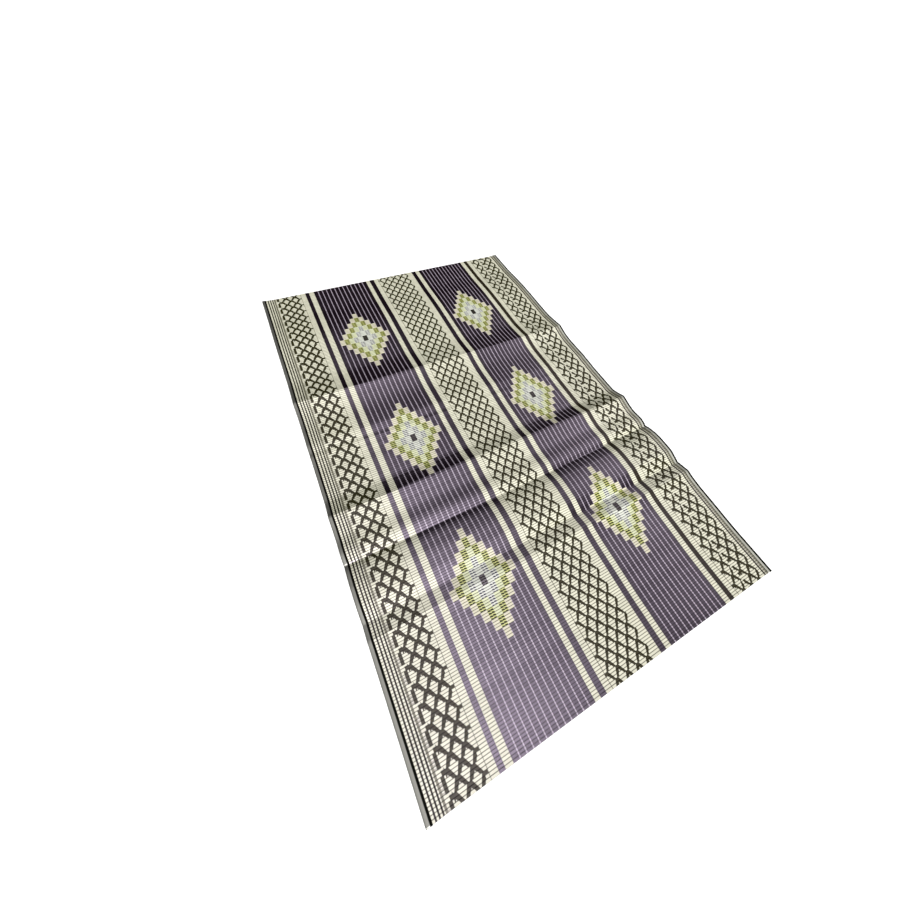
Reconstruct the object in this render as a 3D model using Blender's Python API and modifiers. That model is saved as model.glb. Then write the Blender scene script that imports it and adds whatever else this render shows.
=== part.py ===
"""Plastic straw mat: one woven panel with a tape folded over each side edge.

Units are metres and +Z is up. The mat lies on the floor at z = 0, its length along Y, centred on the
origin. It has been folded for storage, so it rests on its flat stretches and rises between them in the
ridges, swells and creases that the table below gives.
"""

import math
from collections import namedtuple

import bmesh
import bpy
import numpy as np

# Overall sizes
MAT_WIDTH = 1.200          # over the two edge tapes
LAID_LENGTH = 1.7885       # end to end as it lies; about 1.8 along the cloth
CLOTH_THICK = 0.0024       # flattened straws and their binding threads

# Edge tape: a folded strip that holds the cloth's side edge
TAPE_WIDTH = 0.016         # how far each flap reaches in over the cloth
TAPE_THICK = 0.0008
TAPE_CHAMFER = 0.0012      # the fold is a little rounded at the outer edge
SEAT_GAP = 0.0003          # between a flap and the cloth
EDGE_INSET = 0.0018        # from the tape's outer side to the cloth's edge

# The cloth rises to lie between the flaps, over this stretch beside each tape
EDGE_LIFT = TAPE_THICK + SEAT_GAP
LIFT_START = 0.542
LIFT_BROW = 0.567
LIFT_END = 0.580

# Where across the mat the three height columns of the fold table are read
LEFT_AT = -0.32
MIDDLE_AT = 0.11
RIGHT_AT = 0.43

# How finely the cloth is divided
STEP_RISE = 0.0028         # a row of faces climbs no more than this
STEP_LONGEST = 0.075       # nor is it longer than this
COLUMNS_ACROSS = (-0.542, -0.43, -0.32, -0.18, -0.035, 0.11, 0.22, 0.325, 0.43, 0.542)
SLOPE_REACH = 0.0005       # how far to each side of a point its slope is read

Section = namedtuple("Section", "name y left middle right")

# A row for each change along the mat, from the far end to the near one: its place along Y, and the height
# of the cloth's underside at the left, in the middle and at the right
FOLDS = (
    Section("far end", LAID_LENGTH / 2, 0.0, 0.0, 0.0),
    Section("far flat, inner side", 0.760, 0.0, 0.0, 0.0),
    Section("far swell, rising", 0.640, 0.0034, 0.0034, 0.0036),
    Section("far swell, top", 0.507, 0.0070, 0.0070, 0.0075),
    Section("far swell, near side", 0.426, 0.0072, 0.0085, 0.0085),
    Section("dip before the ridge", 0.382, 0.0046, 0.0055, 0.0060),
    Section("ridge, far foot", 0.335, 0.0058, 0.0058, 0.0064),
    Section("ridge, far slope", 0.310, 0.0095, 0.0080, 0.0098),
    Section("ridge, crest", 0.282, 0.0156, 0.0130, 0.0146),
    Section("ridge, near slope", 0.255, 0.0096, 0.0083, 0.0084),
    Section("ridge, near foot", 0.225, 0.0044, 0.0039, 0.0035),
    Section("low swell, far foot", 0.176, 0.0033, 0.0028, 0.0022),
    Section("low swell, top", 0.135, 0.0051, 0.0047, 0.0036),
    Section("low swell, near foot", 0.090, 0.0022, 0.0024, 0.0016),
    Section("last ripple", 0.062, 0.0024, 0.0029, 0.0024),
    Section("middle flat, far side", 0.012, 0.0, 0.0, 0.0),
    Section("middle flat, near side", -0.112, 0.0, 0.0, 0.0),
    Section("fold, far slope", -0.137, 0.0038, 0.0040, 0.0072),
    Section("fold, crest", -0.163, 0.0136, 0.0130, 0.0196),
    Section("fold, near slope", -0.182, 0.0124, 0.0104, 0.0158),
    Section("fold, near foot", -0.204, 0.0094, 0.0066, 0.0108),
    Section("hollow", -0.240, 0.0084, 0.0055, 0.0083),
    Section("second swell", -0.283, 0.0112, 0.0101, 0.0108),
    Section("drop to the crease", -0.299, 0.0082, 0.0080, 0.0080),
    Section("sharp crease", -0.316, 0.0021, 0.0021, 0.0023),
    Section("rise from the crease", -0.333, 0.0076, 0.0092, 0.0096),
    Section("broad fold, far slope", -0.354, 0.0118, 0.0150, 0.0156),
    Section("broad fold, top", -0.378, 0.0143, 0.0173, 0.0180),
    Section("broad fold, near brow", -0.425, 0.0128, 0.0170, 0.0178),
    Section("broad fold, near slope", -0.448, 0.0086, 0.0118, 0.0126),
    Section("second crease", -0.477, 0.0018, 0.0042, 0.0048),
    Section("last ridge, far slope", -0.496, 0.0044, 0.0086, 0.0096),
    Section("last ridge, crest", -0.521, 0.0077, 0.0132, 0.0146),
    Section("last ridge, near slope", -0.550, 0.0050, 0.0086, 0.0096),
    Section("last ridge, foot", -0.592, 0.0032, 0.0054, 0.0060),
    Section("near swell", -0.645, 0.0020, 0.0040, 0.0042),
    Section("near flat, inner side", -0.765, 0.0, 0.0, 0.0),
    Section("near end", -LAID_LENGTH / 2, 0.0, 0.0, 0.0),
)


def clear_scene():
    for thing in list(bpy.data.objects):
        bpy.data.objects.remove(thing, do_unlink=True)


def smooth(t):
    """Eases from 0 to 1 with level ends."""
    t = np.clip(t, 0.0, 1.0)
    return t * t * (3.0 - 2.0 * t)


def smooth_through(places, values):
    """A smooth curve through the points that stays level at each crest and in each hollow."""
    gaps = np.diff(places)
    slopes = np.diff(values) / gaps
    tangents = np.zeros(len(places))
    for i in range(1, len(places) - 1):
        before, after = slopes[i - 1], slopes[i]
        if before * after > 0.0:
            weight_before = 2.0 * gaps[i] + gaps[i - 1]
            weight_after = gaps[i] + 2.0 * gaps[i - 1]
            tangents[i] = (weight_before + weight_after) / (weight_before / before + weight_after / after)

    def value(at):
        i = int(np.clip(np.searchsorted(places, at) - 1, 0, len(gaps) - 1))
        t = min(max((at - places[i]) / gaps[i], 0.0), 1.0)
        start = (1.0 + 2.0 * t) * (1.0 - t) ** 2 * values[i] + t * (1.0 - t) ** 2 * gaps[i] * tangents[i]
        end = t * t * (3.0 - 2.0 * t) * values[i + 1] + t * t * (t - 1.0) * gaps[i] * tangents[i + 1]
        return start + end

    return value


RISING = tuple(reversed(FOLDS))
PLACES = np.array([section.y for section in RISING])
LEFT_LINE = smooth_through(PLACES, np.array([section.left for section in RISING]))
MIDDLE_LINE = smooth_through(PLACES, np.array([section.middle for section in RISING]))
RIGHT_LINE = smooth_through(PLACES, np.array([section.right for section in RISING]))


def height(x, y):
    """Height of the underside above the floor, before the lift beside the tapes."""
    if x < MIDDLE_AT:
        share = smooth((x - LEFT_AT) / (MIDDLE_AT - LEFT_AT))
        return float((1.0 - share) * LEFT_LINE(y) + share * MIDDLE_LINE(y))
    share = smooth((x - MIDDLE_AT) / (RIGHT_AT - MIDDLE_AT))
    return float((1.0 - share) * MIDDLE_LINE(y) + share * RIGHT_LINE(y))


def above(x, y, lift):
    """The point that lies lift above the underside, square to its slope along the mat."""
    slope = (height(x, y + SLOPE_REACH) - height(x, y - SLOPE_REACH)) / (2.0 * SLOPE_REACH)
    length = math.hypot(1.0, slope)
    return (x, y - lift * slope / length, height(x, y) + lift / length)


def rows_along():
    """Places along Y, closer together where the cloth climbs."""
    rows = [RISING[0].y]
    for low, high in zip(RISING, RISING[1:]):
        climb = max(abs(high.left - low.left), abs(high.middle - low.middle), abs(high.right - low.right))
        steps = max(1, math.ceil(climb / STEP_RISE), math.ceil((high.y - low.y) / STEP_LONGEST))
        rows += [low.y + (high.y - low.y) * k / steps for k in range(1, steps + 1)]
    return rows


def bent_sheet(name, columns, rows, place):
    """A grid whose corner in column i and row j lies at place(columns[i], rows[j])."""
    mesh = bpy.data.meshes.new(name)
    grid = bmesh.new()
    across, along = len(columns) - 1, len(rows) - 1
    bmesh.ops.create_grid(grid, x_segments=across, y_segments=along, size=0.5)
    for corner in grid.verts:
        i = round((corner.co.x + 0.5) * across)
        j = round((corner.co.y + 0.5) * along)
        corner.co = place(columns[i], rows[j])
    grid.to_mesh(mesh)
    grid.free()
    return bpy.data.objects.new(name, mesh)


def thicken(sheet, thickness):
    """Gives the sheet its thickness on the side that its faces point to."""
    wall = sheet.modifiers.new("thickness", "SOLIDIFY")
    wall.thickness = thickness
    wall.offset = 1.0
    wall.use_even_offset = True


def finish_of(name, colour, roughness):
    material = bpy.data.materials.new(name)
    material.use_nodes = True
    shader = material.node_tree.nodes["Principled BSDF"]
    shader.inputs["Base Color"].default_value = (*colour, 1.0)
    shader.inputs["Roughness"].default_value = roughness
    shader.inputs["Metallic"].default_value = 0.0
    return material


def make_panel(rows):
    """The woven panel, one solid that follows the folds and rises to its edges inside the tapes."""
    edge = MAT_WIDTH / 2 - EDGE_INSET
    columns = (-edge, -LIFT_END, -LIFT_BROW, *COLUMNS_ACROSS, LIFT_BROW, LIFT_END, edge)

    def place(x, y):
        return above(x, y, EDGE_LIFT * float(smooth((abs(x) - LIFT_START) / (LIFT_END - LIFT_START))))

    panel = bent_sheet("woven_panel", columns, rows, place)
    thicken(panel, CLOTH_THICK)
    panel.data.materials.append(finish_of("plastic_straw", (0.36, 0.33, 0.30), 0.42))
    return panel


def tape_section():
    """The folded tape's outer side: (inward, upward) from its outer edge, from under flap to top flap."""
    full = CLOTH_THICK + 2.0 * (TAPE_THICK + SEAT_GAP)
    return (
        (TAPE_WIDTH, 0.0),
        (TAPE_CHAMFER, 0.0),
        (0.0, TAPE_CHAMFER),
        (0.0, full - TAPE_CHAMFER),
        (TAPE_CHAMFER, full),
        (TAPE_WIDTH, full),
    )


def make_tape(name, side, rows):
    """A tape folded over one side edge; side is -1 on the left and 1 on the right."""
    section = tape_section()
    columns = range(len(section)) if side > 0 else range(len(section) - 1, -1, -1)

    def place(corner, y):
        inward, upward = section[corner]
        return above(side * (MAT_WIDTH / 2 - inward), y, upward)

    tape = bent_sheet(name, list(columns), rows, place)
    thicken(tape, TAPE_THICK)
    tape.data.materials.append(finish_of("edge_tape", (0.035, 0.035, 0.04), 0.5))
    return tape


def main():
    clear_scene()
    shelf = bpy.data.collections.new("plastic_straw_mat")
    bpy.context.scene.collection.children.link(shelf)
    rows = rows_along()
    for piece in (
        make_panel(rows),
        make_tape("binding_left", -1, rows),
        make_tape("binding_right", 1, rows),
    ):
        shelf.objects.link(piece)


main()
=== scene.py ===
"""Plastic straw mat: the woven panel, its edge tapes and their sewing, on a plain pale floor.

Units are metres and +Z is up. The mat's length runs along Y and it is centred on the origin, as in the
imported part. A place on the cloth is told by two lengths: across, from its left edge, and along, which is
counted in wefts from the middle. A weft is one step of the weave: a light straw and a dark one, of which
one lies on top.
"""

import math
from collections import namedtuple

import bmesh
import bpy
import numpy as np
from bpy.props import FloatProperty, FloatVectorProperty, IntProperty, PointerProperty
from mathutils import Matrix, Vector


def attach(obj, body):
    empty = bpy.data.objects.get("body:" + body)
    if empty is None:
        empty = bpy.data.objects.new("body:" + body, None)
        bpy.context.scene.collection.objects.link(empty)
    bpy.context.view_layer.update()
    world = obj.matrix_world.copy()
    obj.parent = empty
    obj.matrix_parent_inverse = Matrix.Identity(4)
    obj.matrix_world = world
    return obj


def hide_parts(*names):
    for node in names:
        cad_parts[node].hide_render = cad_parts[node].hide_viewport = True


bl_info = {
    "name": "Plastic straw mat",
    "version": (1, 0, 0),
    "blender": (4, 5, 0),
    "location": "View3D > Sidebar > Straw mat",
    "description": "Makes a woven plastic straw mat with its edge tapes, and the stage that it lies on",
    "category": "Object",
}

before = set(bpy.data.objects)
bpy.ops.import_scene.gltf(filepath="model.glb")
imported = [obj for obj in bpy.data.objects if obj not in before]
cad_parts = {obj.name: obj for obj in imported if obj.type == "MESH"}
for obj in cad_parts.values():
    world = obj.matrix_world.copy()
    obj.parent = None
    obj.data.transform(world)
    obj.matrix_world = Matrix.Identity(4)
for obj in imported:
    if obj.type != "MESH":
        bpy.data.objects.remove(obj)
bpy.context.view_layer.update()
MM = 0.001


def table(columns, rows):
    """A table whose rows give each number by the name of its column."""
    row_kind = namedtuple("Row", columns)
    return tuple(row_kind(*row) for row in rows)


# The cloth as the part has it
MAT_WIDTH = 1.2
HALF_WIDTH = MAT_WIDTH / 2
LAID_LENGTH = 1.7885
CLOTH_THICK = 0.0024
TAPE_WIDTH = 0.016
TAPE_THICK = 0.0008
SEAT_GAP = 0.0003  # between a flap of the tape and the cloth
EDGE_INSET = 0.0018  # from the tape's outer side to the cloth's edge
TAPE_FULL = CLOTH_THICK + 2.0 * (TAPE_THICK + SEAT_GAP)
SIDES = (("left", -1), ("right", 1))

# The cloth rises to lie between the flaps, over this stretch beside each tape
EDGE_LIFT = TAPE_THICK + SEAT_GAP
LIFT_START = 0.542
LIFT_BROW = 0.567
LIFT_END = 0.58

# Where across the mat the folds' three heights are read
LEFT_AT = -0.32
MIDDLE_AT = 0.11
RIGHT_AT = 0.43
SLOPE_REACH = 0.0005  # to each side of a point whose slope is read
TRACE_POINTS = 6001  # that trace the cloth's length over the folds

# Each change along the mat, from the far end to the near one: its place along Y, and the height of the
# cloth's underside at the left, in the middle and at the right, in millimetres
FOLDS = table("name y left middle right", (
    ("far end", LAID_LENGTH / 2, 0, 0, 0),
    ("far flat", 0.76, 0, 0, 0),
    ("far swell, rising", 0.69, 3, 3, 3.2),
    ("far swell, top", 0.6, 6.2, 6, 6.2),
    ("far swell, middle", 0.54, 5.6, 5.5, 5.8),
    ("far swell, near side", 0.465, 4, 4.2, 4.5),
    ("dip", 0.4, 3, 3.4, 3.7),
    ("ridge, far foot", 0.38, 3.5, 3.8, 4.2),
    ("ridge, far slope", 0.342, 7.8, 7, 8),
    ("ridge, far brow", 0.31, 12.4, 10.5, 11.9),
    ("ridge, crest", 0.287, 16.5, 14, 15.7),
    ("ridge, near slope", 0.255, 9.4, 8.3, 8.6),
    ("ridge, near foot", 0.225, 5, 4.5, 4),
    ("low swell, far foot", 0.19, 2.6, 2.4, 2.2),
    ("low swell, far slope", 0.13, 4.4, 3.6, 3),
    ("low swell, top", 0.104, 5.6, 5, 3.6),
    ("low swell, near foot", 0.07, 1.8, 2.4, 2),
    ("small crease", 0.058, 2.6, 2.8, 2.2),
    ("last ripple", 0.046, 1.6, 1.8, 1.4),
    ("flat, far side", 0.004, 0, 0, 0),
    ("flat, near side", -0.104, 0, 0, 0),
    ("fold, far foot", -0.116, 1.4, 1.2, 1.8),
    ("fold, far slope", -0.137, 7.2, 6, 9),
    ("fold, crest", -0.161, 15.2, 12.8, 19.2),
    ("fold, near slope", -0.181, 12.2, 10.1, 15.4),
    ("fold, near foot", -0.204, 8.8, 7, 10.8),
    ("hollow", -0.236, 6.6, 5, 7.6),
    ("second swell", -0.281, 10.4, 9.2, 10.4),
    ("drop", -0.297, 8.2, 7.8, 8.2),
    ("sharp crease", -0.317, 2, 2, 2.2),
    ("rise", -0.337, 8.4, 9.2, 9.6),
    ("broad fold, far slope", -0.358, 12, 14.8, 15.6),
    ("broad fold, top", -0.382, 14.6, 17.5, 18.2),
    ("broad fold, near brow", -0.425, 12.8, 17, 17.8),
    ("broad fold, near slope", -0.453, 8, 11, 11.8),
    ("second crease", -0.479, 1.8, 3.6, 4.2),
    ("last ridge, far slope", -0.5, 4.4, 8.6, 9.6),
    ("last ridge, crest", -0.521, 7.7, 13.2, 14.6),
    ("last ridge, near slope", -0.55, 5, 8.6, 9.6),
    ("last ridge, foot", -0.592, 3.2, 5.4, 6),
    ("near swell", -0.645, 2, 4, 4.2),
    ("near flat", -0.765, 0, 0, 0),
    ("near end", -LAID_LENGTH / 2, 0, 0, 0),
))

# The folds don't run quite square to the mat: how many millimetres farther back they lie at its left and
# right sides than in the middle
TURNS = table("y left right", (
    (LAID_LENGTH / 2, 0, 0),
    (-0.1, 0, 0),
    (-0.161, -6, 0),
    (-0.236, -2, 4),
    (-0.317, 0, 15),
    (-0.42, 0, 2),
    (-LAID_LENGTH / 2, 0, 0),
))

# Where the cloth keeps a sharp crease
CREASES = (
    "ridge, crest", "small crease", "fold, far foot", "fold, crest", "sharp crease", "broad fold, top",
    "second crease", "last ridge, crest",
)

# Along the cloth: the wefts on each side of the middle, and the steps of the repeats, in wefts
WEFTS_NEAR = 124
WEFTS_FAR = 123
REPEAT_WEFTS = 72  # from one medallion to the next
MEDALLION_ROWS = 1  # rows of them on each side of the middle one
STEP_WEFTS = 4  # in a step of a medallion
LATTICE_WEFTS = 6  # in a diamond of the lattices
STEPS_ACROSS_HALF = 6  # columns of a band on each side of its middle one

# The wefts don't run quite straight: how many millimetres back each is moved at these places across the mat
DRIFT_AT = (-0.485, -0.255, 0.008, 0.263, 0.502)
DRIFTS = table("y left_lattice left_band middle right_band right_lattice", (
    (LAID_LENGTH / 2, 0, 0, 0, 0, 0),
    (0.62, 14, 4, 0, -3, -5),
    (0.56, 13, 3, 0, -3.5, -5),
    (0.5, 8.5, 1, -0.5, -4, -5),
    (0.446, 6, -1, -2, -6, -5),
    (0.388, 7.5, -2, -1, -6.5, -5),
    (0.331, 10.5, -1, -2, -6, -5.5),
    (0.273, 9.5, 0, -1, -3, -4),
    (0.216, 6.5, 0, 0, -2, -3),
    (0.158, 5, -1, 1, -2, -2),
    (0.072, 4, -1, 1.5, -1, -1.5),
    (-0.014, 3, 0, 3, 1, 0),
    (-0.072, 2, -1, 3, 1, 2),
    (-0.129, 0, -2, 2, 1, 1),
    (-0.187, 1, -2, 2, 0, 0),
    (-0.244, 1, 0, 4, 4, 3),
    (-0.302, -1, 1, 3, 4, 3),
    (-0.359, -4, -2, 2, 1, 2),
    (-0.417, -5, -4, 1, 1, 1),
    (-0.474, -5, -3, 1, 2, 1),
    (-0.66, 0, 0, 0, 0, 0),
    (-LAID_LENGTH / 2, 0, 0, 0, 0, 0),
))

# Where in a weft the rows of corners lie
ROWS_IN_A_WEFT = (0.0, 0.05, 0.14, 0.86, 0.95)
SHOULDER = 0.14  # how far into the straw its rounding reaches
ROUND_OF_A_STRAW = 6.0  # how abruptly a straw rounds off into its groove

# The plain stripes along the mat, measured from its left edge, their straw, and how much duller than the
# rest they are. Between them the ground is cream.
STRIPES = table("name start end colour dull", (
    # Painted shadow: dull ink on the cloth under the left-hand tape and along its inner edge, where the tape
    # shades the cloth
    ("left tape's shade", 0.0, 0.0166, "ink", 1.0),
    ("left line 1", 0.0226, 0.027, "ink", 0.8),
    ("left line 2", 0.0318, 0.0361, "ink", 0.8),
    ("left line 3", 0.041, 0.0453, "ink", 0.8),
    ("left line 4", 0.048, 0.054, "moss", 0.6),
    ("left lattice, line", 0.1612, 0.1628, "moss", 0.6),
    ("left border", 0.1837, 0.2004, "aubergine", 0.0),
    ("left band", 0.2217, 0.4683, "aubergine", 0.0),
    ("left band's border", 0.4865, 0.507, "aubergine", 0.0),
    ("middle lattice, line", 0.5264, 0.5284, "moss", 0.6),
    ("right band's border", 0.7041, 0.724, "aubergine", 0.0),
    ("right band", 0.743, 0.9796, "aubergine", 0.0),
    ("right border", 0.9996, 1.0174, "dusk", 0.65),
    ("right lattice, line", 1.0372, 1.0395, "moss", 0.6),
    ("right line 1", 1.1658, 1.1712, "ink", 0.7),
    ("right shade", 1.1712, 1.1765, "dun", 0.2),
    ("right line 2", 1.1765, 1.1845, "moss", 0.3),
    # Painted shadow: dull ink on the cloth under the right-hand tape and along its inner edge, where the tape
    # shades the cloth
    ("right tape's shade", 1.184, 1.2, "ink", 1.0),
))

# The two wide dark bands carry the stepped medallions, and each is 13 columns wide
BANDS = tuple(stripe for stripe in STRIPES if stripe.name in ("left band", "right band"))

# Painted shade on the tapes: the stretches across the mat where each tape's right-facing half, which turns
# away from the light, is painted dark
TAPES_PAINTED_SHADE = ((0.0106, HALF_WIDTH), (1.1905, 2.0 * MAT_WIDTH))

# The three strips of diamond lattice: their sides, a diamond's width, a crossing of two lines, how much of
# that width each light cell loses on each side, and patches where the pattern is broken, their top and bottom
# in wefts down from each crossing
LATTICES = table("name start end across cross_at cross_weft inset patches", (
    ("left", 0.0728, 0.1525, 0.0388, 0.1157, -1.5, 0.04, ()),
    ("middle", 0.5322, 0.6798, 0.0365, 0.6062, 0.5, 0.015, ()),
    ("right", 1.0428, 1.1562, 0.0371, 1.1018, 2.5, 0.035, table("name start end top bottom dark", (
        ("light over the crossing", 1.0837, 1.0956, -1.1, 0.7, False),
        ("light left of the dash", 1.0789, 1.0852, 0.4, 2.6, False),
        ("dash over the crossing", 1.0856, 1.0936, -2.3, -1.1, True),
        ("dash below the crossing", 1.0854, 1.0942, 0.8, 2.4, True),
    ))),
))

# The light cell between the lines of a lattice, from its upper crossing down: shares of the diamond's width
# across, and wefts down
CELL_OPENS = 1.1  # where the light begins
CELL_TAPER = 0.105  # what half its width gains or loses with each weft
CELL_STEP = 0.05  # what it gains at once
CELL_STEP_AT = 2.0  # and where
CELL_BROW = 3.0  # where it is widest
CELL_WIDEST = 0.375  # half of its width there

# Short dark bars that tie a lattice's outermost crossings to its border: the weft of one, and half its height
# in wefts
TICKS = table("name start end weft half_height", (
    ("left lattice, left", 0.065, 0.0744, -1.5, 0.75),
    ("left lattice, chain", 0.0598, 0.0692, -4.1, 2.1),
    ("left lattice, right", 0.1501, 0.1616, -1.5, 0.5),
    ("middle lattice, left", 0.5255, 0.5361, 0.5, 0.45),
    ("right lattice, left", 1.0361, 1.0477, -0.5, 0.6),
))

# The widths of the pattern's edges: across the mat, and the last one along it, in wefts
STRIPE_SOFT = 0.0005
BAND_SOFT = 0.0004
LATTICE_SOFT = 0.0006
LINE_SOFT = 0.001
PATCH_SOFT = 0.0008
ROW_SOFT = 0.3

# The scallops outside the left lattice: their start, end and edge across the mat, within a weft and in wefts
# from the crossings, and how strongly they show
SCALLOPS = ((0.0535, 0.06, PATCH_SOFT), (0.1, 0.6, 0.1), (1.4, 9.0, 0.4))
SCALLOP_SHARE = 0.6

# From which column to which the pinstripes of a band run, and the width of that edge
PINS = (0.3, 12.7, 0.02)

# The rings of a medallion from its middle outwards
RINGS = table("ground dash", (
    ("ink", "ink"),
    ("frost", "frost"),
    ("frost", "navy"),
    ("straw_yellow", "straw_yellow"),
    ("lime", "olive"),
    ("ivory", "ivory"),
))

# A dash in its weft and in half a column: its start, end and edge, in shares of both. Those of the inner
# rings are finer.
DASH_HEIGHT = (0.04, 0.68, 0.08)
DASH_WIDTH = (0.06, 0.94, 0.1)
DASH_LEAN = 0.26  # how far it runs down over its length
DASH_START = 0.2  # how far below the groove it starts
DASH_DULL = 0.75  # how much duller than the rest it is
FINE_RINGS = 2.5  # the rings up to here are finer
FINE_SHORTER = 0.13
FINE_NARROWER = 0.06

# The shade and the gloss of a straw: the least, and what its own chance, patches and wear add
SHADE_CHANCES = (0.84, 0.14, 0.1, 0.12)
GLOSS_CHANCES = (0.38, 0.4, 0.0, 0.8)
REVERSE_TURNS = 0.2  # straws lighter than this are dark behind

# The groove between two straws, from its middle. It is painted darker: partly the darker straw beneath
# showing, partly painted shadow in the groove.
GROOVE_HALF = 0.0003  # how far it is darkest
GROOVE_FADE = 0.0011  # over what length it fades
GROOVE_SHARE = 0.9
GROOVE_SHADOW_AND_UNDER_STRAW = (0.07, 0.07, 0.05)

# How far from the groove's middle the gloss starts and over what length it rises, and how much of it the
# lattices' lines and the light straws lose
GLOSS_FROM = 0.0004
GLOSS_FADE = 0.0006
LINES_DULL = 0.8
LIGHT_DULL = 0.55
GREENEST = 1.8  # one by the green share from which a straw counts as light
STRAW_SHEEN = (0.92, 0.78, 1.0)

# The tape
FLAP_EDGE = 0.0003  # how far its cut edges are rounded off
ARC_STEPS = 4  # in a quarter of its fold
FLAP_STEPS = 3  # across a flap
TAPE_RIB = 0.0011
TAPE_THREAD = 0.0009
TAPE_GLOSS = 0.79
TAPE_SHEEN = (0.92, 0.9, 0.84)

# Five places along a stitch, and its thickness and dip there, in shares of its length and of the thread
STITCH_STATIONS = (
    (-0.5, 0.45, -0.75), (-0.32, 0.95, -0.1), (0.0, 1.0, 0.0), (0.32, 0.95, -0.1), (0.5, 0.45, -0.75),
)
STITCH_SIDES = 6
STITCH_RISE = 0.1  # how high its middle lies over the flap

# The stage. The camera's place and axes were worked out from the photo.
CAMERA_AT = (-0.453, -0.517, 0.948)
CAMERA_RIGHT = (0.89671, -0.43389, 0.08746)
CAMERA_UP = (0.34703, 0.81185, 0.46955)
CAMERA_FORWARD = (0.27474, 0.3907, -0.87856)
FLOOR_SHADES = ((0.95, 0.95, 0.945), (0.97, 0.97, 0.965))
KEY_TOWARDS = (-0.1, -0.9, 0.44)
BACKDROP = 0.93  # brightness that the camera sees behind the floor

# Two wide soft boxes overhead with a dimmer strip between them. On a plane one unit up: where each lies
# across, how softly it ends, its share of the strength, how far towards the viewer it reaches and over what
# length it rises from there
SOFT_BOXES = table("name low high soft share start rise", (
    ("left", -0.7, 0.28, 0.72, 1.0, -1.0, 0.5),
    ("right", 0.6, 1.3, 0.35, 0.68, -0.65, 0.8),
))
BOXES_END = 1.45  # how far away from the viewer they reach
BOXES_FADE = 1.85  # over what length they fade out
BOXES_POWER = 1.7  # and by what power
SKY_LOWEST = 0.05  # lower directions count as this high


def smooth(t):
    """Eases from 0 to 1 with level ends."""
    t = np.clip(t, 0.0, 1.0)
    return t * t * (3.0 - 2.0 * t)


def smooth_through(places, values, creased):
    """A smooth curve through the points, level on each crest and in each hollow, and sharp at a crease."""
    gaps = np.diff(places)
    slopes = np.diff(values) / gaps
    tangents = np.zeros(len(places))
    for i in range(1, len(places) - 1):
        before, after = slopes[i - 1], slopes[i]
        if before * after > 0.0:
            weight_before = 2.0 * gaps[i] + gaps[i - 1]
            weight_after = gaps[i] + 2.0 * gaps[i - 1]
            tangents[i] = (weight_before + weight_after) / (weight_before / before + weight_after / after)
    leaving, arriving = tangents.copy(), tangents.copy()
    for i in creased:
        arriving[i], leaving[i] = slopes[i - 1], slopes[i]

    def value(at):
        i = np.clip(np.searchsorted(places, at) - 1, 0, len(gaps) - 1)
        t = np.clip((at - places[i]) / gaps[i], 0.0, 1.0)
        bend = t * (1.0 - t) * gaps[i] * ((1.0 - t) * leaving[i] - t * arriving[i + 1])
        return values[i] + smooth(t) * (values[i + 1] - values[i]) + bend

    return value


RISING = tuple(reversed(FOLDS))
PLACES = np.array([section.y for section in RISING])
CREASED = [i for i, section in enumerate(RISING) if section.name in CREASES]
LEFT_LINE, MIDDLE_LINE, RIGHT_LINE = (
    smooth_through(PLACES, np.array([getattr(section, column) for section in RISING]) * MM, CREASED)
    for column in ("left", "middle", "right")
)


def unturned(x, y):
    """Where along the mat's middle the folds are as they are at this place."""
    places, left, right = np.array(TURNS[::-1]).T
    side = np.asarray(x) / HALF_WIDTH
    at_left = np.interp(y, places, left * MM) * np.clip(-side, 0.0, 1.0)
    return y - at_left - np.interp(y, places, right * MM) * np.clip(side, 0.0, 1.0)


def height(x, y):
    """Height of the underside above the floor, before the lift beside the tapes."""
    y = unturned(x, y)
    middle = MIDDLE_LINE(y)
    left_share = 1.0 - smooth((x - LEFT_AT) / (MIDDLE_AT - LEFT_AT))
    right_share = smooth((x - MIDDLE_AT) / (RIGHT_AT - MIDDLE_AT))
    return middle + left_share * (LEFT_LINE(y) - middle) + right_share * (RIGHT_LINE(y) - middle)


def above(x, y, lift):
    """The points at this lift above the underside, square to its slope along the mat."""
    x, y, lift = np.broadcast_arrays(x, y, lift)
    slope = (height(x, y + SLOPE_REACH) - height(x, y - SLOPE_REACH)) / (2.0 * SLOPE_REACH)
    length = np.hypot(1.0, slope)
    return np.stack([x, y - lift * slope / length, height(x, y) + lift / length], axis=-1)


def drift(x, y):
    """How far the wefts are moved along the mat at these places."""
    places, *moved = np.array(DRIFTS[::-1]).T
    shares = (np.interp(x, DRIFT_AT, only) for only in np.eye(len(moved)))
    return MM * sum(share * np.interp(y, places, column) for share, column in zip(shares, moved))


def places_of_wefts(x, wefts):
    """Where along Y each place in wefts lies, on the line along the mat at this x."""
    y = np.linspace(-LAID_LENGTH / 2, LAID_LENGTH / 2, TRACE_POINTS)
    along = np.concatenate([[0.0], np.cumsum(np.hypot(np.diff(y), np.diff(height(x, y))))])
    along -= np.interp(0.0, y, along)
    share = np.where(along < 0.0, WEFTS_NEAR / -along[0], WEFTS_FAR / along[-1])
    straight = np.interp(wefts, along * share, y)
    return straight + drift(x, straight)


def plain_mesh(name, points, faces=(), edges=()):
    mesh = bpy.data.meshes.new(name)
    mesh.from_pydata(points, edges, faces)
    return mesh


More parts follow.
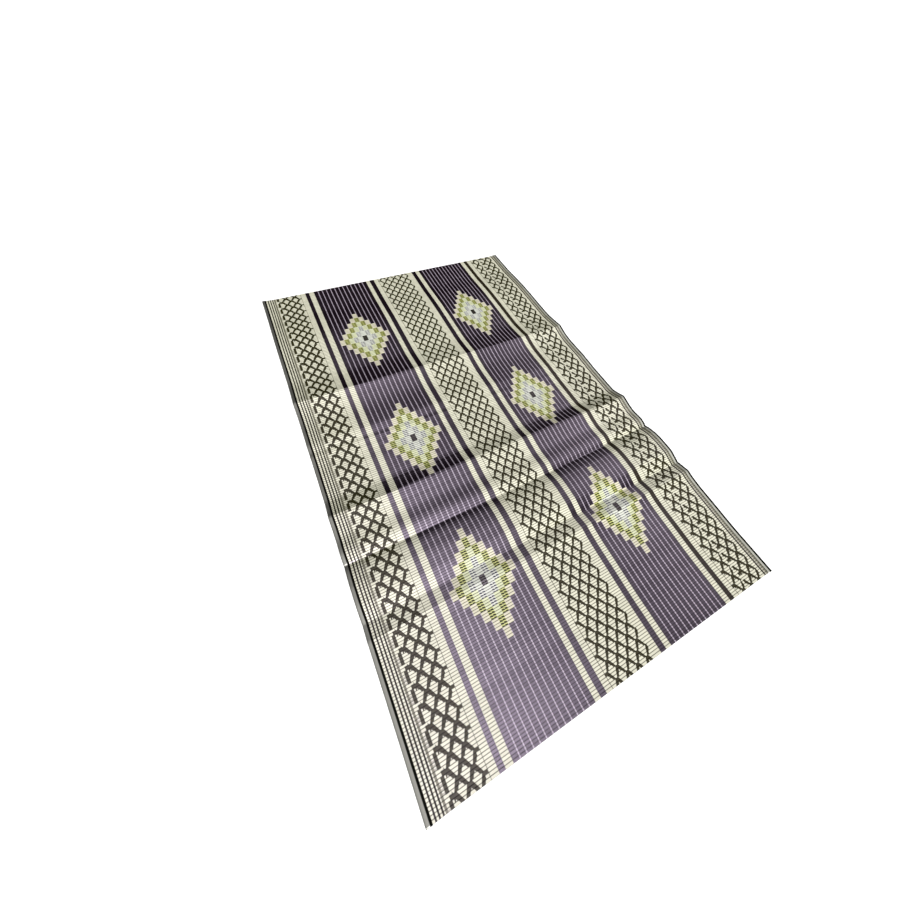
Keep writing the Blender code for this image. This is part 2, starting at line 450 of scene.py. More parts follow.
def grid_mesh(name, points, uvs, closed_across=False):
    """A mesh over a grid of points, with a UV map named cloth. It faces up where the first axis runs along Y
    and the second along X."""
    rows, columns = points.shape[:2]
    corner = picked = np.arange(rows * columns).reshape(rows, columns)
    if closed_across:
        corner = np.concatenate([corner, corner[:, :1]], axis=1)
        picked = np.arange(rows * (columns + 1)).reshape(rows, columns + 1)

    def quads(grid):
        return np.stack([grid[:-1, :-1], grid[:-1, 1:], grid[1:, 1:], grid[1:, :-1]], axis=-1).reshape(-1, 4)

    mesh = plain_mesh(name, points.reshape(-1, 3).tolist(), quads(corner).tolist())
    layer = mesh.uv_layers.new(name="cloth")
    layer.data.foreach_set("uv", uvs.reshape(-1, 2)[quads(picked).ravel()].astype(np.float32).ravel())
    return mesh


def shade_smoothly(mesh):
    mesh.polygons.foreach_set("use_smooth", np.ones(len(mesh.polygons), bool))


def add_object(name, mesh):
    thing = bpy.data.objects.new(name, mesh)
    bpy.context.scene.collection.objects.link(thing)
    return thing


def wired(operation, turned=False):
    """A method that adds the node for this operation on the wire and what it is given."""

    def method(self, *others):
        values = (self, *others)
        return self.board.maths(operation, *(values[::-1] if turned else values))

    return method


class Wire:
    """A number that a socket gives. Sums, products and the like of it are worked out by nodes."""

    def __init__(self, board, socket):
        self.board = board
        self.socket = socket

    __add__ = wired("ADD")
    __radd__ = wired("ADD", turned=True)
    __sub__ = wired("SUBTRACT")
    __rsub__ = wired("SUBTRACT", turned=True)
    __mul__ = wired("MULTIPLY")
    __rmul__ = wired("MULTIPLY", turned=True)
    __truediv__ = wired("DIVIDE")
    __abs__ = wired("ABSOLUTE")
    floor = wired("FLOOR")
    fraction = wired("FRACT")
    least = wired("MINIMUM")
    most = wired("MAXIMUM")

    def clamped(self):
        return self.board.maths("MULTIPLY", self, 1.0, clamp=True)


class Board:
    """A node tree, and the one way in which nodes are added to it."""

    def __init__(self, tree):
        self.tree = tree

    def feed(self, socket, value):
        if isinstance(value, Wire):
            self.tree.links.new(value.socket, socket)
        elif isinstance(value, (tuple, list)) and len(value) == 3 and socket.type == "RGBA":
            socket.default_value = (*value, 1.0)
        else:
            socket.default_value = value

    def add(self, kind, settings=None, inputs=None, output=0):
        """Adds a node: its settings come first, then the values or wires of its inputs."""
        node = self.tree.nodes.new(kind)
        for name, value in (settings or {}).items():
            setattr(node, name, value)
        for key, value in (inputs or {}).items():
            self.feed(node.inputs[key], value)
        return Wire(self, node.outputs[output])

    def maths(self, operation, first, second=None, clamp=False):
        inputs = {0: first} if second is None else {0: first, 1: second}
        return self.add("ShaderNodeMath", {"operation": operation, "use_clamp": clamp}, inputs)

    def joined(self, x, y, z=0.0):
        return self.add("ShaderNodeCombineXYZ", None, {0: x, 1: y, 2: z})

    def parts(self, vector):
        split = self.add("ShaderNodeSeparateXYZ", None, {0: vector}).socket.node
        return [Wire(self, socket) for socket in split.outputs]

    def blend(self, share, first, second, blend_type="MIX"):
        """The first colour where share is 0 and the second where it is 1."""
        settings = {"data_type": "RGBA", "blend_type": blend_type, "clamp_factor": True}
        return self.add("ShaderNodeMix", settings, {0: share, 6: first, 7: second}, output=2)

    def shaded(self, colour, tone):
        """The colour times a number."""
        return self.blend(1.0, colour, self.joined(tone, tone, tone), "MULTIPLY")

    def between(self, value, low, high, soft):
        """1 from low to high, with an edge as wide as soft."""
        return ((value - low) / soft + 0.5).clamped() * ((high - value) / soft + 0.5).clamped()

    def noise(self, vector, scale=1.0, detail=2.0):
        inputs = {"Vector": vector, "Scale": scale, "Detail": detail}
        return self.add("ShaderNodeTexNoise", {"noise_dimensions": "3D"}, inputs)

    def cloth_noise(self, place, changes, scale=1.0, detail=2.0):
        """Noise that changes so often in each metre across the cloth and along it."""
        return self.noise(self.joined(*(at * rate for at, rate in zip(place, changes))), scale, detail)

    def cloth_place(self):
        """Across and along the cloth, in metres."""
        return self.parts(self.add("ShaderNodeUVMap", {"uv_map": "cloth"}))[:2]


def new_material(name):
    """A material and its board, with the surface shader alone in it."""
    material = bpy.data.materials.new(name)
    material.use_nodes = True
    return material, Board(material.node_tree), material.node_tree.nodes["Principled BSDF"]


def plain_material(name, shades, scale, detail, roughness, specular=0.5):
    """A surface that varies between two shades, with its least roughness and what the second shade adds."""
    material, board, shader = new_material(name)
    noise = board.noise(board.add("ShaderNodeTexCoord", output=3), scale, detail)
    board.feed(shader.inputs["Base Color"], board.blend(noise, *shades))
    board.feed(shader.inputs["Roughness"], roughness[0] + noise * roughness[1])
    board.feed(shader.inputs["Specular IOR Level"], specular)
    return material


def finish(material, board, shader, colour, bump, roughness, gloss, sheen):
    """A glossy surface that gives way to a dull one where gloss is 0."""
    matt = board.add("ShaderNodeBsdfPrincipled")
    for part in (shader, matt.socket.node):
        board.feed(part.inputs["Base Color"], colour)
        board.feed(part.inputs["Normal"], bump)
        board.feed(part.inputs["Roughness"], roughness)
    matt.socket.node.inputs["Specular IOR Level"].default_value = 0.0
    shader.inputs["IOR"].default_value = 2.5
    shader.inputs["Specular Tint"].default_value = (*sheen, 1.0)
    mixed = board.add("ShaderNodeMixShader", None, {0: gloss, 1: matt, 2: Wire(board, shader.outputs[0])})
    board.feed(material.node_tree.nodes["Material Output"].inputs["Surface"], mixed)


def new_geometry_tree(name, inputs):
    """A geometry tree with a geometry in and out, and the inputs given as (name, kind)."""
    tree = bpy.data.node_groups.new(name, "GeometryNodeTree")
    for label, kind in (("Geometry", "Geometry"), *inputs):
        tree.interface.new_socket(label, in_out="INPUT", socket_type="NodeSocket" + kind)
    tree.interface.new_socket("Geometry", in_out="OUTPUT", socket_type="NodeSocketGeometry")
    board = Board(tree)
    entry = tree.nodes.new("NodeGroupInput")
    given = {socket.name: Wire(board, socket) for socket in entry.outputs if socket.name}
    return tree, board, given


def close_geometry_tree(board, geometry, material):
    """Ends the tree as real faces with their material."""
    real = board.add("GeometryNodeRealizeInstances", None, {"Geometry": geometry})
    painted = board.add("GeometryNodeSetMaterial", None, {"Geometry": real, "Material": material})
    board.feed(board.tree.nodes.new("NodeGroupOutput").inputs[0], painted)


def grown(thing, tree, values):
    """Runs the tree on the object and keeps the result as its plain mesh."""
    modifier = thing.modifiers.new(tree.name, "NODES")
    modifier.node_group = tree
    for item in tree.interface.items_tree:
        if item.in_out == "INPUT" and item.name in values:
            modifier[item.identifier] = values[item.name]
    bpy.context.view_layer.update()
    evaluated = thing.evaluated_get(bpy.context.evaluated_depsgraph_get())
    mesh = bpy.data.meshes.new_from_object(evaluated)
    thing.modifiers.remove(modifier)
    before = thing.data
    thing.data = mesh
    mesh.name = before.name
    bpy.data.meshes.remove(before)
    shade_smoothly(mesh)
    return thing


def number_input(label, value, least, most, description, **more):
    return FloatProperty(name=label, description=description, default=value, min=least, max=most, **more)


def length_input(label, size, least, most, description):
    return number_input(label, size, least, most, description, precision=5, unit="LENGTH")


def colour_input(label, shade, description):
    return FloatVectorProperty(
        name=label, description=description, default=shade, min=0.0, max=1.0, subtype="COLOR"
    )


class StrawMatWeave(bpy.types.PropertyGroup):
    """Sizes of the weave."""

    weft_pitch: length_input("Weft step", 0.00728, 0.002, 0.02, "Length of one weft along the cloth")
    groove_share: number_input(
        "Groove height", 0.45, 0.1, 1.0, "Height of the grooves in half of the cloth", subtype="FACTOR"
    )
    columns: IntProperty(
        name="Columns", description="Columns of faces over the panel's middle", default=32, min=8, max=60
    )
    pinstripe: length_input("Pinstripe", 0.0036, 0.001, 0.01, "Width of the light lines on the dark bands")


class StrawMatColours(bpy.types.PropertyGroup):
    """Colours of the straws, the tape and its thread."""

    cream: colour_input("Cream", (0.578, 0.568, 0.448), "The light ground")
    aubergine: colour_input("Aubergine", (0.005, 0.0015, 0.004), "The dark purple ground")
    dusk: colour_input("Dusk", (0.022, 0.018, 0.008), "The browner dark border")
    ink: colour_input("Ink", (0.020, 0.019, 0.010), "The nearly black straw")
    moss: colour_input("Moss", (0.15, 0.145, 0.10), "The greyer thin lines")
    dun: colour_input("Dun", (0.35, 0.34, 0.26), "The dull stripe beside the right-hand tape")
    lattice_dark: colour_input("Lattice dark", (0.030, 0.028, 0.010), "The lines of the lattices")
    lilac: colour_input("Lilac", (0.36, 0.315, 0.375), "The pinstripes")
    frost: colour_input("Frost", (0.545, 0.558, 0.498), "The bluish white in the medallions")
    navy: colour_input("Navy", (0.055, 0.05, 0.085), "The dark dashes on frost")
    straw_yellow: colour_input("Straw yellow", (0.53, 0.55, 0.365), "The pale yellow ring")
    lime: colour_input("Lime", (0.46, 0.48, 0.155), "The yellow-green ring")
    olive: colour_input("Olive", (0.024, 0.030, 0.002), "The dark dashes on lime")
    ivory: colour_input("Ivory", (0.545, 0.515, 0.395), "The outer ring")
    tape: colour_input("Tape", (0.072, 0.072, 0.064), "The lighter side of the left-hand tape")
    # Painted light: both tapes are alike, and the right-hand one is coloured paler as if its top were more
    # brightly lit
    tape_painted_lit: colour_input("Tape, pale", (0.335, 0.335, 0.285), "The lighter side of the right-hand tape")
    # Painted shade: this dark goes on the right-facing half of each tape, where it turns away from the light
    tape_painted_shade: colour_input("Tape, dark", (0.005, 0.005, 0.004), "The dark side of both tapes")
    thread: colour_input("Thread", (0.09, 0.09, 0.085), "The sewing thread")


class StrawMatTape(bpy.types.PropertyGroup):
    """Sizes of the edge tape and its sewing."""

    fold_round: length_input("Fold round", 0.0019, 0.0005, 0.0023, "Outer radius of the tape's fold")
    crown: length_input("Crown", 0.0009, 0.0, 0.002, "How far the top flap bulges in the middle")
    stitch_step: length_input("Stitch step", 0.0045, 0.002, 0.01, "From one stitch to the next")
    stitch_length: length_input("Stitch length", 0.0034, 0.001, 0.01, "Length of a stitch on the flap")
    stitch_thick: length_input("Thread", 0.0005, 0.0002, 0.002, "Thickness of the thread")
    stitch_inset: length_input("Seam inset", 0.0128, 0.004, 0.015, "From the seam to the tape's outer side")


class StrawMatStage(bpy.types.PropertyGroup):
    """The floor, the light and the camera."""

    floor_side: number_input("Floor", 160.0, 4.0, 400.0, "Side of the square floor", unit="LENGTH")
    sky_strength: number_input("Soft boxes", 3.03, 0.0, 20.0, "Brightness of the soft boxes overhead")
    sky_fill: number_input("Fill", 0.01, 0.0, 5.0, "Brightness of the light from all round")
    key_strength: number_input("Key", 6.15, 0.0, 20.0, "Strength of the soft light from the viewer's side")
    key_spread: number_input("Key spread", 0.7, 0.0, 3.1, "Width of the key in the sky", subtype="ANGLE")
    lens: number_input("Lens", 12.20, 5.0, 100.0, "Focal length of the camera in millimetres")


def colour_of(name):
    return tuple(getattr(bpy.context.scene.straw_mat_colours, name))


def panel_columns(count):
    """Places of the panel's columns: even in the middle, closer where the cloth rises to its edges."""
    edge = HALF_WIDTH - EDGE_INSET
    side = (LIFT_END, LIFT_BROW, (LIFT_START + LIFT_BROW) / 2)
    middle = np.linspace(-LIFT_START, LIFT_START, count + 1)
    return np.array([-edge, *(-at for at in side), *middle, *reversed(side), edge])


def ribbed_tree(material):
    """Turns a smooth sheet into the two faces of a woven one, each straw a flat-topped rib."""
    inputs = [(name, "Float") for name in ("Half thickness", "Groove", "Shoulder")]
    tree, board, given = new_geometry_tree("ribbed straws", inputs)
    place, inside = (
        board.add("GeometryNodeInputNamedAttribute", {"data_type": "FLOAT"}, {"Name": name})
        for name in ("weft_place", "inside")
    )
    place = place.fraction()
    from_groove = (place.least(1.0 - place) / given["Shoulder"]).least(1.0)
    bulge = 1.0 - board.maths("POWER", 1.0 - from_groove, ROUND_OF_A_STRAW)
    share = given["Groove"] + (1.0 - given["Groove"]) * bulge
    rise = given["Half thickness"] * inside * share
    normal = board.add("GeometryNodeInputNormal")

    def moved(far):
        offset = board.add("ShaderNodeVectorMath", {"operation": "SCALE"}, {0: normal, "Scale": far})
        inputs = {"Geometry": given["Geometry"], "Offset": offset}
        return board.add("GeometryNodeSetPosition", None, inputs)

    top = moved(rise)
    under = board.add("GeometryNodeFlipFaces", None, {"Mesh": moved(0.0 - rise)})
    marked = board.add(
        "GeometryNodeStoreNamedAttribute", {"data_type": "FLOAT", "domain": "FACE"},
        {"Geometry": under, "Name": "underside", "Value": 1.0},
    )
    both = board.add("GeometryNodeJoinGeometry")
    for half in (marked, top):
        board.feed(both.socket.node.inputs[0], half)
    closed = board.add("GeometryNodeMergeByDistance", None, {"Geometry": both, "Distance": 1e-6})
    close_geometry_tree(board, closed, material)
    return tree


def lattice_share(board, u, weft, lattice):
    """1 on the dark of a lattice, which is what its light cells leave. Below each crossing a cell widens by a
    step, is widest in its third weft and narrows evenly to the next crossing."""
    across = (u - lattice.cross_at) / lattice.across
    below = (lattice.cross_weft + 0.5 - weft) / LATTICE_WEFTS
    edge = lattice.across / LINE_SOFT
    light = 0.0
    for shift in (0.0, 0.5):
        down = (below + shift).fraction() * LATTICE_WEFTS
        aside = abs((across + (shift + 0.5)).fraction() - 0.5)
        stepped = board.maths("GREATER_THAN", down, CELL_STEP_AT) * CELL_STEP
        widening = (down - CELL_OPENS) * CELL_TAPER + stepped
        narrowing = CELL_WIDEST - (down - CELL_BROW) * CELL_TAPER
        past = board.maths("GREATER_THAN", down, CELL_BROW)
        half = widening + (narrowing - widening) * past - lattice.inset
        light = ((half - aside) * edge + 0.5).clamped().most(light)
    dark = 1.0 - light
    from_crossing = (below.fraction() - 0.5) * LATTICE_WEFTS
    for patch in lattice.patches:
        inside = board.between(u, patch.start, patch.end, PATCH_SOFT)
        inside = inside * board.between(from_crossing, patch.top, patch.bottom, ROW_SOFT)
        dark = dark.most(inside) if patch.dark else dark * (1.0 - inside)
    return dark * board.between(u, lattice.start, lattice.end, LATTICE_SOFT)


def from_row(weft, row):
    """How many wefts it is to the nearest of the rows of crossings to which this row belongs."""
    return abs(((weft - row) / LATTICE_WEFTS + 0.5).fraction() - 0.5) * LATTICE_WEFTS


def lattice_borders(board, u, weft):
    """1 on the dark bars beside the lattices."""
    share = 0.0
    for tick in TICKS:
        level = board.between(from_row(weft, tick.weft), -1.0, tick.half_height, ROW_SOFT)
        share = (level * board.between(u, tick.start, tick.end, LINE_SOFT)).most(share)
    return share


def band_colour(board, u, weft, t, band, pinstripe):
    """The colour on a dark band with its pinstripes and stepped medallions, and the share of their dashes."""
    pitch = (band.end - band.start) / (2 * STEPS_ACROSS_HALF + 1)
    place = (u - band.start) / pitch
    column = abs(place.floor() - STEPS_ACROSS_HALF)
    beside = abs((place + 0.5).fraction() - 0.5) * pitch
    pin = ((pinstripe / 2 - beside) / PATCH_SOFT + 0.5).clamped() * board.between(place, *PINS)
    nearest = (weft / REPEAT_WEFTS + 0.5).floor().most(-MEDALLION_ROWS).least(MEDALLION_ROWS)
    from_middle = weft - nearest * REPEAT_WEFTS
    ring = column + abs(((from_middle + STEP_WEFTS / 2) / STEP_WEFTS).floor())

    # The inner rings' dashes are finer than the outer ones'
    half = (place * 2.0).fraction()
    along = (t + (half - 0.5) * DASH_LEAN + DASH_START).fraction()
    fine = board.maths("LESS_THAN", ring, FINE_RINGS)
    top, bottom, height_soft = DASH_HEIGHT
    left, right, width_soft = DASH_WIDTH
    thin = fine * FINE_NARROWER
    dash = board.between(along, top, bottom - fine * FINE_SHORTER, height_soft)
    dash = dash * board.between(half, left + thin, right - thin, width_soft)

    colour = board.blend(pin, colour_of("aubergine"), colour_of("lilac"))
    inside = 0.0
    for number, kind in reversed(tuple(enumerate(RINGS))):
        within = board.maths("LESS_THAN", ring, number + 0.5)
        colour = board.blend(within, colour, board.blend(dash, colour_of(kind.ground), colour_of(kind.dash)))
        inside = within.most(inside)
    return colour, dash * inside


def pattern(board, u, weft, t, pinstripe):
    """The colour of the cloth's pattern, how dull it is, and the share of the lattices' lines."""
    colour = colour_of("cream")
    dull = 0.0
    for stripe in STRIPES:
        share = board.between(u, stripe.start, stripe.end, STRIPE_SOFT)
        colour = board.blend(share, colour, colour_of(stripe.colour))
        dull = (share * stripe.dull).most(dull)
    for band in BANDS:
        share = board.between(u, band.start, band.end, BAND_SOFT)
        inner, dash = band_colour(board, u, weft, t, band, pinstripe)
        colour = board.blend(share, colour, inner)
        dull = (share * dash * DASH_DULL).most(dull)
    lines = lattice_borders(board, u, weft)
    for lattice in LATTICES:
        lines = lines.most(lattice_share(board, u, weft, lattice))
    scallop = SCALLOP_SHARE
    for place, extent in zip((u, t, from_row(weft, TICKS[0].weft)), SCALLOPS):
        scallop = board.between(place, *extent) * scallop
    colour = board.blend(scallop, colour, colour_of("moss"))
    return board.blend(lines, colour, colour_of("lattice_dark")), dull, lines


def straw_material():
    """The woven straws: stripes, lattices and medallions, laid out on the piece's own UV map."""
    weave = bpy.context.scene.straw_mat_weave
    material, board, shader = new_material("woven_straw")
    u, v = board.cloth_place()
    weft = v / weave.weft_pitch
    t = weft.fraction()
    colour, dull, lines = pattern(board, u, weft, t, weave.pinstripe)

    # Each straw is a little lighter or darker than its neighbours, and worn along its length
    own = board.add("ShaderNodeTexWhiteNoise", {"noise_dimensions": "1D"}, {"W": weft.floor()})
    patches = board.cloth_noise((u, v), (6.0, 3.0), 3.0, 3.0)
    wear = board.cloth_noise((u, v), (160.0, 420.0))

    def by_chance(least, by_straw, by_patch, by_wear):
        return least + own * by_straw + patches * by_patch + wear * by_wear

    colour = board.shaded(colour, by_chance(*SHADE_CHANCES))

    # The reverse shows the other straw of each pair
    light = board.add("ShaderNodeRGBToBW", None, {0: colour})
    is_light = ((light - REVERSE_TURNS) / 0.05).clamped()
    other = board.blend(is_light, colour_of("cream"), colour_of("aubergine"))
    underside = board.add("ShaderNodeAttribute", {"attribute_name": "underside"}, output=2)
    colour = board.blend(underside, colour, other)

    # The grooves between the straws are painted darker: partly the darker straw beneath showing there, partly
    # painted shadow
    from_groove = t.least(1.0 - t) * weave.weft_pitch
    groove = (1.0 - (from_groove - GROOVE_HALF) / GROOVE_FADE).clamped()
    colour = board.blend(groove * GROOVE_SHARE, colour, GROOVE_SHADOW_AND_UNDER_STRAW, "MULTIPLY")

    # A fine grain along the straws. The bump starts from the true faces, which keeps their tops flat.
    fine = board.cloth_noise((u, v), (40.0, 2600.0))
    face = board.add("ShaderNodeNewGeometry", output=3)
    grain = {"Strength": 0.05, "Distance": 0.0002, "Height": fine, "Normal": face}
    bump = board.add("ShaderNodeBump", None, grain)
    roughness = 0.15 + patches * 0.08 + fine * 0.04

    # The tops are glossy, the light straws' less. The grooves and the darkest dashes are dull.
    top = ((from_groove - GLOSS_FROM) / GLOSS_FADE).clamped()
    gloss = by_chance(*GLOSS_CHANCES).clamped() * top
    lightness = (board.parts(colour)[1] * GREENEST).clamped()
    gloss = gloss * (1.0 - dull.most(lines * LINES_DULL)) * (1.0 - lightness * LIGHT_DULL)
    finish(material, board, shader, colour, bump, roughness, gloss, STRAW_SHEEN)
    return material


class MAT_OT_weave_panel(bpy.types.Operator):
    """Weaves the panel: one sheet of ribs that follows the folds"""

    bl_idname = "straw_mat.weave_panel"
    bl_label = "Weave the panel"

    def execute(self, context):
        weave = context.scene.straw_mat_weave
        wefts = [row + t for row in range(-WEFTS_NEAR, WEFTS_FAR) for t in ROWS_IN_A_WEFT]
        wefts = np.array(wefts + [WEFTS_FAR])
        columns = panel_columns(weave.columns)
        y = np.stack([places_of_wefts(x, wefts) for x in columns], axis=1)
        x = np.broadcast_to(columns, y.shape)
        place = np.broadcast_to(wefts[:, None], y.shape)
        lift = EDGE_LIFT * smooth((np.abs(x) - LIFT_START) / (LIFT_END - LIFT_START))
        points = above(x, y, lift + CLOTH_THICK / 2)
        uvs = np.stack([x + HALF_WIDTH, place * weave.weft_pitch], axis=-1)
        sheet = grid_mesh("woven_straw_panel", points, uvs)
        inside = np.ones(x.shape)
        inside[0, :] = inside[-1, :] = inside[:, 0] = inside[:, -1] = 0.0
        for name, values in (("inside", inside), ("weft_place", place)):
            layer = sheet.attributes.new(name, "FLOAT", "POINT")
            layer.data.foreach_set("value", values.astype(np.float32).ravel())
        panel = add_object("woven_straw_panel", sheet)
        sizes = {"Half thickness": CLOTH_THICK / 2, "Groove": weave.groove_share, "Shoulder": SHOULDER}
        grown(panel, ribbed_tree(straw_material()), sizes)
        for name in ("inside", "weft_place"):
            panel.data.attributes.remove(panel.data.attributes[name])
        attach(panel, "root")
        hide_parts("woven_panel")
        return {"FINISHED"}


def tape_line(fold_round, crown):
    """The tape's section as a closed line of (inward, upward), from the under flap's edge round the fold to
    the top flap's edge, and back along its inner side."""
    middle = TAPE_FULL / 2

    def half(radius, inset, reach):
        """Upper half of one side of the tape: from the fold's middle to the flap's edge."""
        turn = [math.radians(90.0 * k / ARC_STEPS) for k in range(ARC_STEPS + 1)]
        start, rise = inset + radius, middle - inset
        arc = [(inset + radius * (1 - math.cos(a)), rise - radius + radius * math.sin(a)) for a in turn]
        return arc + [(start + (reach - start) * k / FLAP_STEPS, rise) for k in range(1, FLAP_STEPS + 1)]

    outer = half(fold_round, 0.0, TAPE_WIDTH - FLAP_EDGE)
    inner = half(fold_round - TAPE_THICK, TAPE_THICK, TAPE_WIDTH)
    crowned = [(a, b + crown * max(0.0, 1.0 - (2.0 * a / TAPE_WIDTH - 1.0) ** 2)) for a, b in outer]
    under = [(TAPE_WIDTH, FLAP_EDGE)] + [(a, middle - b) for a, b in outer[::-1]]
    over = [(a, middle + b) for a, b in crowned] + [(TAPE_WIDTH, TAPE_FULL - FLAP_EDGE)]
    return under + over + [(a, middle + b) for a, b in inner[::-1]] + [(a, middle - b) for a, b in inner]


def tape_material():
    """Woven tape with a fine rib across it. Each tape's right-facing half is painted dark as shade; the
    right-hand tape is painted paler, as if more brightly lit.
    """
    material, board, shader = new_material("woven_tape")
    u, v = board.cloth_place()
    ribs = abs((v / TAPE_RIB).fraction() - 0.5) * 2.0
    threads = abs((u / TAPE_THREAD + (v / TAPE_RIB).floor() * 0.5).fraction() - 0.5) * 2.0
    weave_height = ribs * 0.6 + threads * 0.4
    patches = board.cloth_noise((u, v), (60.0, 12.0), detail=3.0)
    # Painted shade: the right-facing half of each tape is coloured dark and left without gloss, where it
    # turns away from the light
    dark = 0.0
    for start, end in TAPES_PAINTED_SHADE:
        dark = board.between(u, start, end, PATCH_SOFT).most(dark)
    # Painted light: the right-hand tape is coloured paler than the left, as if its top caught more light
    on_right = board.maths("GREATER_THAN", u, HALF_WIDTH)
    colour = board.blend(on_right, colour_of("tape"), colour_of("tape_painted_lit"))
    colour = board.blend(dark, colour, colour_of("tape_painted_shade"))
    # The tape's tone varies in patches, and it is painted darker in the weave's hollows as shade between the
    # threads
    colour = board.shaded(colour, (0.75 + patches * 0.5) * (0.55 + 0.45 * weave_height))
    bump = board.add("ShaderNodeBump", None, {"Strength": 0.2, "Distance": 0.0002, "Height": weave_height})
    roughness = 0.30 + patches * 0.10
    finish(material, board, shader, colour, bump, roughness, (1.0 - dark) * TAPE_GLOSS, TAPE_SHEEN)
    return material


def close_ends(mesh, rows, around):
    """Closes both ends of a tube with strips of faces between its outer and its inner side."""
    work = bmesh.new()
    work.from_mesh(mesh)
    work.verts.ensure_lookup_table()
    for first in (0, (rows - 1) * around):
        for k in range(around // 2 - 1):
            ring = [first + k, first + k + 1, first + around - 2 - k, first + around - 1 - k]
            work.faces.new([work.verts[i] for i in ring])
    bmesh.ops.recalc_face_normals(work, faces=work.faces[:])
    work.to_mesh(mesh)
    work.free()


class MAT_OT_fold_tapes(bpy.types.Operator):
    """Folds a tape over each side edge"""

    bl_idname = "straw_mat.fold_tapes"
    bl_label = "Fold the edge tapes"

    def execute(self, context):
        settings = context.scene.straw_mat_tape
        pitch = context.scene.straw_mat_weave.weft_pitch
        line = tape_line(settings.fold_round, settings.crown)
        wefts = np.linspace(-WEFTS_NEAR, WEFTS_FAR, 2 * (WEFTS_NEAR + WEFTS_FAR) + 1)
        material = tape_material()
        for name, side in SIDES:
            inward, upward = np.array(line if side > 0 else line[::-1]).T
            x = side * (HALF_WIDTH - inward)
            y = places_of_wefts(side * HALF_WIDTH, wefts)
            points = above(x, y[:, None], upward)
            around = np.append(x[::-1], x[-1]) + HALF_WIDTH
            uvs = np.stack(np.broadcast_arrays(around, wefts[:, None] * pitch), axis=-1)
            mesh = grid_mesh("edge_tape_" + name, points[:, ::-1], uvs, closed_across=True)
            close_ends(mesh, len(wefts), len(line))
            tape = add_object(mesh.name, mesh)
            mesh.materials.append(material)
            shade_smoothly(mesh)
            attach(tape, "root")
            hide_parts("binding_" + name)
        return {"FINISHED"}


def stitched_tree(material):
    """Sets stitches along a line: the same short thread at each step, turned along the line."""
    tree, board, given = new_geometry_tree("seam", [("Stitch", "Object"), ("Step", "Float")])
    curve = board.add("GeometryNodeMeshToCurve", None, {"Mesh": given["Geometry"]})
    stepped = {"Curve": curve, "Length": given["Step"]}
    steps = board.add("GeometryNodeResampleCurve", {"mode": "LENGTH"}, stepped)
    stitch = board.add("GeometryNodeObjectInfo", None, {"Object": given["Stitch"]}, output=4)
    tangent = board.add("GeometryNodeInputTangent")
    turn = board.add("FunctionNodeAlignRotationToVector", {"axis": "Y"}, {"Vector": tangent})
    placed = {"Points": steps, "Instance": stitch, "Rotation": turn}
    seam = board.add("GeometryNodeInstanceOnPoints", None, placed)
    close_geometry_tree(board, seam, material)
    return tree


def stitch_mesh(length, thick):
    """One stitch: a short many-sided thread that dips at both ends."""
    sides, points, faces = STITCH_SIDES, [], []
    for at, girth, drop in STITCH_STATIONS:
        for k in range(sides):
            a = math.radians(360.0 / sides * k)
            x, z = girth * math.cos(a), girth * math.sin(a) + drop
            points.append((thick / 2 * x, at * length, thick / 2 * z))
    last = sides * (len(STITCH_STATIONS) - 1)
    for first in range(0, last, sides):
        for k in range(sides):
            a, b = first + k, first + (k + 1) % sides
            faces.append((a, a + sides, b + sides, b))
    faces += [tuple(range(sides)), tuple(last + k for k in reversed(range(sides)))]
    return plain_mesh("stitch", points, faces)


class MAT_OT_sew_tapes(bpy.types.Operator):
    """Sews each tape with a seam of stitches on its top flap"""

    bl_idname = "straw_mat.sew_tapes"
    bl_label = "Sew the edge tapes"

    def execute(self, context):
        settings = context.scene.straw_mat_tape
        stitch = add_object("stitch", stitch_mesh(settings.stitch_length, settings.stitch_thick))
        shades = [tuple(share * part for part in colour_of("thread")) for share in (0.6, 1.5)]
        tree = stitched_tree(plain_material("sewing_thread", shades, 1800.0, 2.0, (0.5, 0.15)))
        wefts = np.arange(-WEFTS_NEAR + 0.6, WEFTS_FAR - 0.5, 0.5)
        for name, side in SIDES:
            x = side * (HALF_WIDTH - settings.stitch_inset)
            points = above(x, places_of_wefts(x, wefts), TAPE_FULL + STITCH_RISE * settings.stitch_thick)
            edges = [(i, i + 1) for i in range(len(points) - 1)]
            line = add_object("seam_" + name, plain_mesh("seam_" + name, points.tolist(), edges=edges))
            seam = grown(line, tree, {"Stitch": stitch, "Step": settings.stitch_step})
            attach(seam, "root")
        bpy.data.objects.remove(stitch, do_unlink=True)
        return {"FINISHED"}


def set_light(scene, settings):
    """Soft boxes overhead, a little light from all round, and a low key light from the viewer's side."""
    world = bpy.data.worlds.new("studio")
    scene.world = world
    world.use_nodes = True
    board = Board(world.node_tree)
    across, along, up = board.parts(board.add("ShaderNodeTexCoord"))
    up = up.most(SKY_LOWEST)
    across, along = across / up, along / up
    glow = 0.0
    for box in SOFT_BOXES:
        begun = ((along - box.start) / box.rise).clamped()
        glow = board.between(across, box.low, box.high, box.soft) * begun * box.share + glow
    fade = board.maths("POWER", ((BOXES_END - along) / BOXES_FADE).clamped(), BOXES_POWER)
    lit = settings.sky_fill + settings.sky_strength * (glow * fade)
    seen = board.add("ShaderNodeLightPath")
    background = world.node_tree.nodes["Background"]
    board.feed(background.inputs["Color"], (1.0, 0.995, 0.98))
    board.feed(background.inputs["Strength"], lit * (1.0 - seen) + BACKDROP * seen)
    key = bpy.data.lights.new("key", "SUN")
    key.energy = settings.key_strength
    key.angle = settings.key_spread
    lamp = add_object("key", key)
    lamp.rotation_mode = "QUATERNION"
    lamp.rotation_quaternion = Vector(KEY_TOWARDS).to_track_quat("Z", "Y")


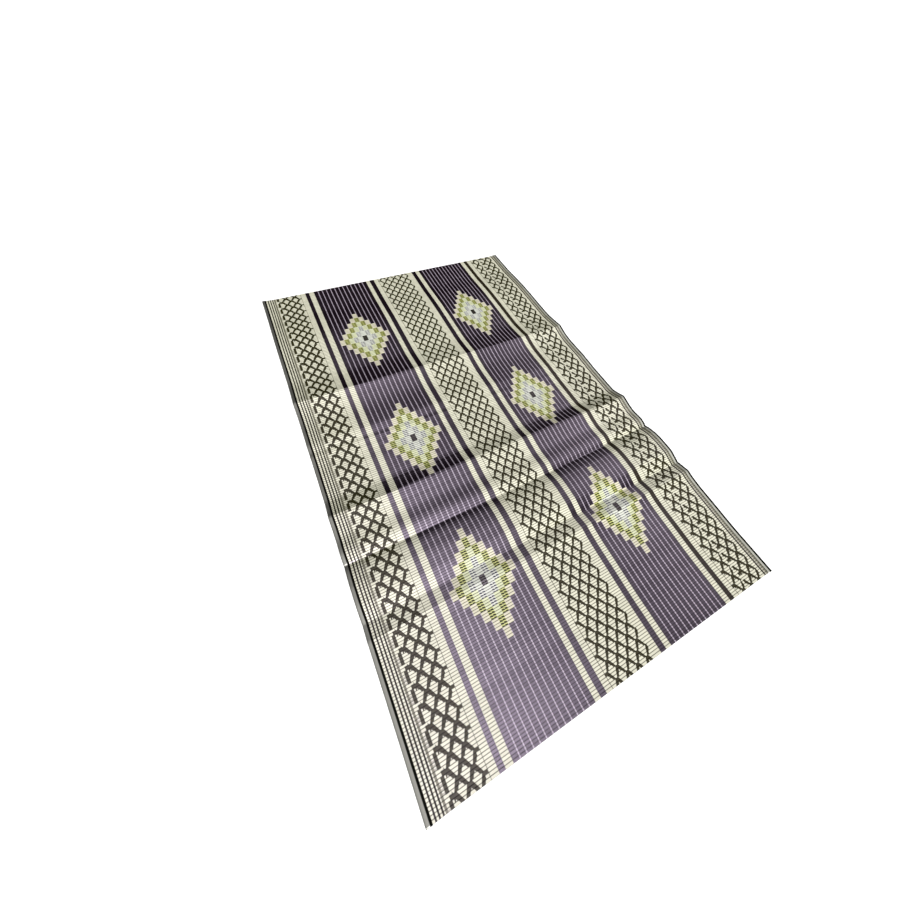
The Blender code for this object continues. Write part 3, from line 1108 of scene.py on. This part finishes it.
def place_camera(scene, settings):
    lens = bpy.data.cameras.new("camera")
    lens.lens = settings.lens
    lens.sensor_width = 36.0
    lens.clip_start = 0.01
    lens.clip_end = 500.0
    camera = add_object("camera", lens)
    turn = Matrix([CAMERA_RIGHT, CAMERA_UP, [-part for part in CAMERA_FORWARD]]).transposed()
    camera.matrix_world = Matrix.Translation(CAMERA_AT) @ turn.to_4x4()
    scene.camera = camera


class MAT_OT_set_stage(bpy.types.Operator):
    """Lays the floor, sets the light and places the camera"""

    bl_idname = "straw_mat.set_stage"
    bl_label = "Set the stage"

    def execute(self, context):
        settings = context.scene.straw_mat_stage
        half = settings.floor_side / 2
        corners = [(-half, -half, 0.0), (half, -half, 0.0), (half, half, 0.0), (-half, half, 0.0)]
        mesh = plain_mesh("floor", corners, [(0, 1, 2, 3)])
        mesh.materials.append(plain_material("pale_floor", FLOOR_SHADES, 1.5, 3.0, (0.75, 0.1), 0.2))
        add_object("floor", mesh)
        set_light(context.scene, settings)
        place_camera(context.scene, settings)
        context.scene.view_settings.view_transform = "Standard"
        return {"FINISHED"}


class MAT_PT_maker(bpy.types.Panel):
    """Lists the mat's pieces in the order in which they are made"""

    bl_idname = "MAT_PT_maker"
    bl_label = "Straw mat"
    bl_space_type = "VIEW_3D"
    bl_region_type = "UI"
    bl_category = "Straw mat"

    def draw(self, context):
        for operator in OPERATORS:
            self.layout.operator(operator.bl_idname)
        for group in (getattr(context.scene, name) for name in GROUPS):
            box = self.layout.box()
            for name in group.bl_rna.properties.keys():
                if name not in ("rna_type", "name"):
                    box.prop(group, name)


GROUPS = {
    "straw_mat_weave": StrawMatWeave,
    "straw_mat_colours": StrawMatColours,
    "straw_mat_tape": StrawMatTape,
    "straw_mat_stage": StrawMatStage,
}
OPERATORS = (MAT_OT_weave_panel, MAT_OT_fold_tapes, MAT_OT_sew_tapes, MAT_OT_set_stage)
KINDS = (*GROUPS.values(), *OPERATORS, MAT_PT_maker)


def register():
    for kind in KINDS:
        bpy.utils.register_class(kind)
    for name, group in GROUPS.items():
        setattr(bpy.types.Scene, name, PointerProperty(type=group))


def unregister():
    for name in GROUPS:
        delattr(bpy.types.Scene, name)
    for kind in reversed(KINDS):
        bpy.utils.unregister_class(kind)


def main():
    register()
    bpy.ops.straw_mat.weave_panel()
    bpy.ops.straw_mat.fold_tapes()
    bpy.ops.straw_mat.sew_tapes()
    bpy.ops.straw_mat.set_stage()


if __name__ == "__main__":
    main()
